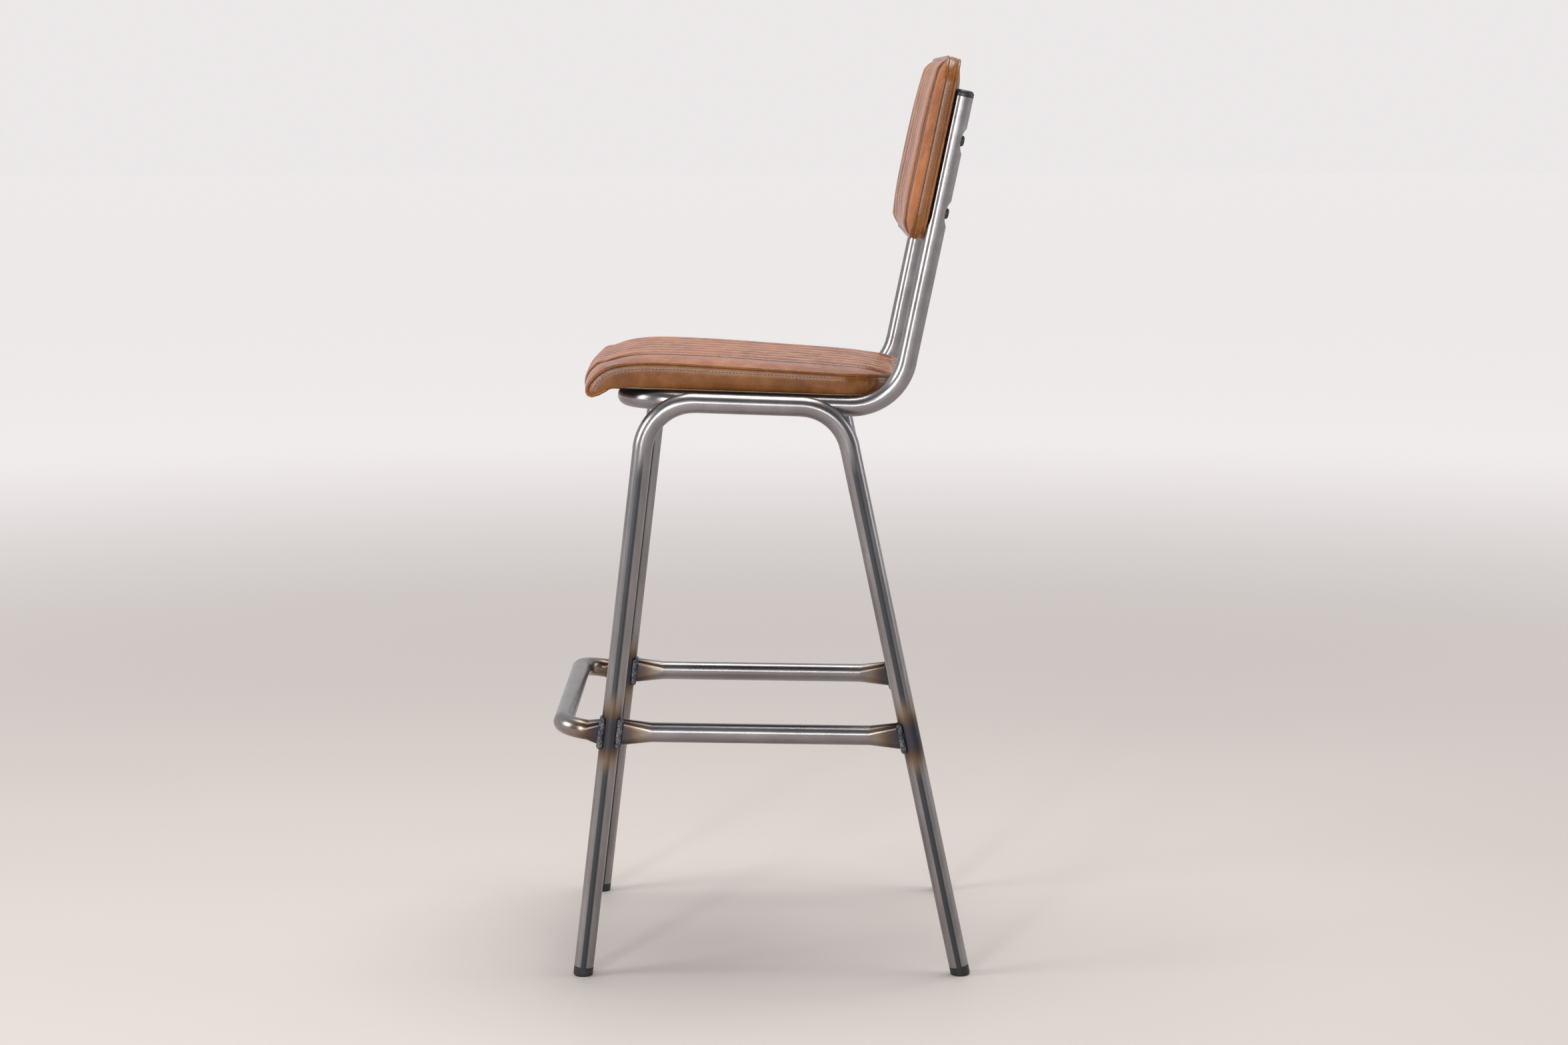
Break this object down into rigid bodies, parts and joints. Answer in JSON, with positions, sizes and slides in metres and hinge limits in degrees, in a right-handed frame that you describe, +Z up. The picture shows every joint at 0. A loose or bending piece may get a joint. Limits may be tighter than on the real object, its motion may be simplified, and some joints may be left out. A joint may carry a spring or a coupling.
{
  "type": "bar stool",
  "caption": "Backed bar stool with a tubular steel frame, a forward footrest bar, side braces and leather pads on the seat and back.",
  "frame": {"origin": "on the floor, at the middle of the footprint's bounding box", "axes": "+Z up, -Y towards the front (footrest side), +Y towards the back, X across the stool"},
  "size_m": [0.4654, 0.5322, 1.1663],
  "materials": {
    "steel_tube": "bare tube under clear lacquer, with a dark weld seam",
    "weld_steel": "heat-darkened weld bead",
    "black_plastic": "satin moulded black",
    "seat_leather": "worn tan, waxed",
    "border_leather": "tan, waxed, satin",
    "welt_leather": "tan, polished on the crest",
    "plywood": "birch plywood",
    "dust_cloth": "black non-woven",
    "foam": "polyurethane foam",
    "black_bolt": "black oxide",
    "zinc": "zinc plate"
  },
  "bodies": {
    "root": {"left_leg_frame": "steel_tube", "right_leg_frame": "steel_tube", "seat_back_frame": "steel_tube", "seat_tabs": "steel_tube", "footrest": "steel_tube", "left_brace": "steel_tube", "right_brace": "steel_tube", "footrest_welds": "weld_steel", "brace_welds": "weld_steel", "seat_frame_welds": "weld_steel", "front_left_glide": "black_plastic", "front_right_glide": "black_plastic", "rear_left_glide": "black_plastic", "rear_right_glide": "black_plastic", "left_post_cap": "black_plastic", "right_post_cap": "black_plastic", "seat_dust_cover": "dust_cloth", "seat_board": "plywood", "seat_foam": "foam", "seat_top_cover": "seat_leather", "seat_border": "border_leather", "seat_piping": "welt_leather", "seat_bolts": "black_bolt", "seat_t_nuts": "zinc", "back_board": "plywood", "back_foam": "foam", "back_front_cover": "seat_leather", "back_border": "border_leather", "back_front_piping": "welt_leather", "back_rear_piping": "welt_leather", "back_rear_cover": "border_leather", "back_bolts": "black_bolt", "back_t_nuts": "zinc"}
  },
  "joints": []
}
